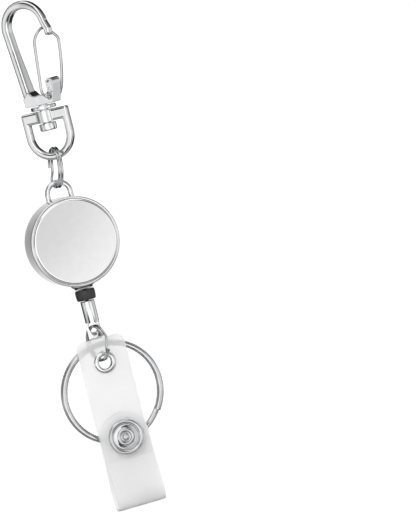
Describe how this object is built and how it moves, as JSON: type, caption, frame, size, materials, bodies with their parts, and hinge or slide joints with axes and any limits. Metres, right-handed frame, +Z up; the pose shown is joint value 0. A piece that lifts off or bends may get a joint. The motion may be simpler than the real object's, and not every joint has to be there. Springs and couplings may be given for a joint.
{
  "type": "retractable badge reel",
  "caption": "Retractable badge reel with swivel snap hook, round chrome case, sprung cord, pull rod, key ring and clear snap strap.",
  "frame": {"origin": "inside top of the snap hook, where the object hangs", "axes": "+Z up along the hanging length, -Y the front of the reel and the strap, +X to its right seen from the front"},
  "size_m": [0.0366, 0.0169, 0.1803],
  "materials": {
    "chrome": "polished",
    "case": "satin polished",
    "steel": "satin",
    "rubber": "satin",
    "vinyl": "frosted clear",
    "spool": "matte",
    "cord": "braided nylon"
  },
  "bodies": {
    "hook": {"hook_body": "chrome", "swivel_rivet": "chrome", "swivel_washer": "chrome"},
    "gate": {"gate_wire": "chrome"},
    "bow": {"swivel_bow": "chrome"},
    "upper_ring": {"upper_split_ring": "chrome"},
    "reel": {"bail": "chrome", "front_cover": "case", "back_case": "case", "cord_nozzle": "chrome", "centre_post": "steel", "power_spring": "steel", "cord_lead": "cord"},
    "drum": {"spool": "spool", "spool_cover": "spool", "cord_winding": "cord"},
    "cord_end": {"cord_tail": "cord", "cord_ferrule": "steel"},
    "rod": {"stopper": "rubber", "pull_rod": "chrome"},
    "lower_ring": {"lower_split_ring": "chrome"},
    "keys_ring": {"key_ring": "chrome"},
    "strap": {"strap_back": "vinyl", "eyelet_front": "chrome", "eyelet_back": "chrome", "snap_stud": "steel", "snap_post": "chrome"},
    "flap": {"strap_flap": "vinyl", "snap_cap": "chrome", "snap_socket": "steel"}
  },
  "joints": [
    {"name": "gate_pivot", "type": "hinge", "parent": "hook", "child": "gate", "pos_m": [0.00538, -0.00404, -0.0314], "axis": [-0.749, -0.6626, 0], "range_deg": [0, 25], "stiffness_Nm_per_rad": 0.01, "springref_deg": -1.15},
    {"name": "bow_swivel", "type": "hinge", "parent": "hook", "child": "bow", "pos_m": [0.0018, 0, -0.0356], "axis": [0, 0, 1], "continuous": true},
    {"name": "upper_ring_swing", "type": "hinge", "parent": "bow", "child": "upper_ring", "pos_m": [0.0018, 0, -0.05198], "axis": [0.7826, -0.6225, 0], "range_deg": [-60, 60]},
    {"name": "reel_sway", "type": "hinge", "parent": "upper_ring", "child": "reel", "pos_m": [-0.00015, 0.0015, -0.06275], "axis": [0, 1, 0], "range_deg": [-50, 50]},
    {"name": "cord_pull", "type": "slide", "parent": "reel", "child": "cord_end", "axis": [0, 0, -1], "range_m": [0, 0.6], "stiffness_N_per_m": 2, "springref_m": -0.5},
    {"name": "spool_spin", "type": "hinge", "parent": "reel", "child": "drum", "pos_m": [0, 0, -0.0821], "axis": [0, 1, 0], "range_deg": [0, 3600]},
    {"name": "rod_twist", "type": "hinge", "parent": "cord_end", "child": "rod", "pos_m": [0, 0, -0.1033], "axis": [0, 0, 1], "range_deg": [-180, 180]},
    {"name": "lower_ring_sway", "type": "hinge", "parent": "rod", "child": "lower_ring", "pos_m": [0, 0.0014, -0.1129], "axis": [0, 1, 0], "range_deg": [-60, 60]},
    {"name": "key_ring_sway", "type": "hinge", "parent": "lower_ring", "child": "keys_ring", "pos_m": [-0.0012, 0.0034, -0.1214], "axis": [0, 1, 0], "range_deg": [-30, 40]},
    {"name": "strap_sway", "type": "hinge", "parent": "lower_ring", "child": "strap", "pos_m": [0, -0.0008, -0.1246], "axis": [0, 1, 0], "range_deg": [-45, 45]},
    {"name": "snap_flap", "type": "hinge", "parent": "strap", "child": "flap", "pos_m": [0.0006, -0.0022, -0.177], "axis": [1, 0, 0], "range_deg": [0, 120]}
  ],
  "couplings": [
    {"joint": "spool_spin", "follows": "cord_pull", "rad_per_m": 100}
  ]
}
